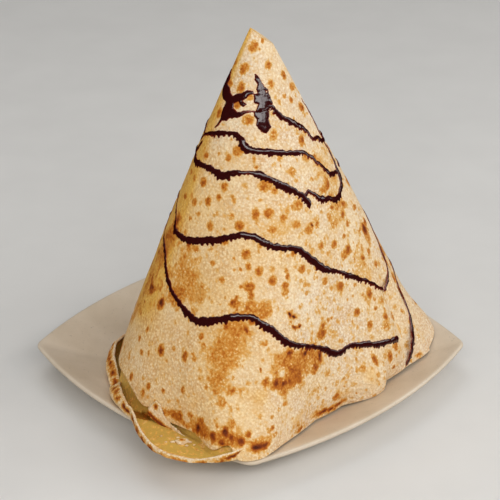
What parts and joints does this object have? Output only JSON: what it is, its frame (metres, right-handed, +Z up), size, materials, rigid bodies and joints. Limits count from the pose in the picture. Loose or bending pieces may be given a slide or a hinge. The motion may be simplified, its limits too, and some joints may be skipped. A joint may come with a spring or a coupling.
{
  "type": "tissue prata on a square plate",
  "caption": "Tall hollow cone of paper-thin crisp flatbread with trailed chocolate sauce, standing open side down in a shallow square plate with bowed sides.",
  "frame": {"origin": "middle of the plate's flat foot, on the table", "axes": "+Z up; the plate's corners point along X and Y, and the side with the bread's raised lip is towards -X -Y"},
  "size_m": [0.3018, 0.307, 0.27],
  "materials": {
    "plate": "matt cream glaze with fine grey specks",
    "bread": "dry crisp toasted flatbread with brown blister spots",
    "chocolate": "glossy dark chocolate sauce"
  },
  "bodies": {
    "root": {"plate": "plate", "prata": "bread"}
  },
  "joints": []
}
